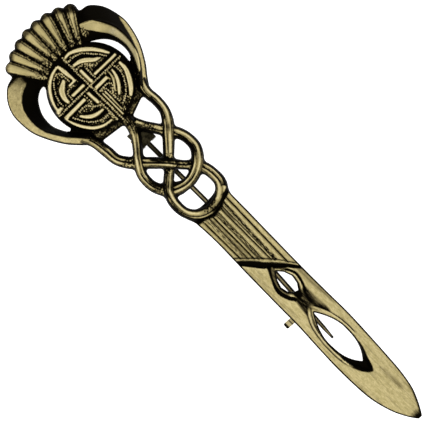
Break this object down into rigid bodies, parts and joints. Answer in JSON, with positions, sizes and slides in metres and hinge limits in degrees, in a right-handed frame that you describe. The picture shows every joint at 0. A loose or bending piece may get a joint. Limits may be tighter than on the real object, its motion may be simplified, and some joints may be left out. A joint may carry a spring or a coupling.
{
  "type": "kilt pin",
  "caption": "Cast thistle kilt pin with a woven strap and a pierced, reeded blade, a hinged pin wire and a turning safety catch behind it.",
  "frame": {"origin": "under the middle of the outline, on the surface that the hinge and the catch stand on", "axes": "+Y along the pin to the thistle head, +Z out of the front, +X to the right seen from the front"},
  "size_m": [0.029, 0.1084, 0.008],
  "materials": {
    "cast_brass": "antiqued satin brass, near-black patina in the recesses",
    "findings_brass": "darkened satin brass",
    "wire_brass": "darkened drawn brass wire"
  },
  "bodies": {
    "brooch": {"casting": "cast_brass", "hinge_block": "findings_brass", "hinge_rivet": "findings_brass", "catch_housing": "findings_brass"},
    "stem": {"stem": "wire_brass"},
    "lever": {"catch_lever": "findings_brass"}
  },
  "joints": [
    {"name": "stem_hinge", "type": "hinge", "parent": "brooch", "child": "stem", "pos_m": [0.00057, 0.0234, 0.002], "axis": [1, 0, 0], "range_deg": [0, 100]},
    {"name": "catch_turn", "type": "hinge", "parent": "brooch", "child": "lever", "pos_m": [-0.00036, -0.0237, 0.002], "axis": [-0.0592, -0.9982, 0], "range_deg": [0, 90]}
  ]
}
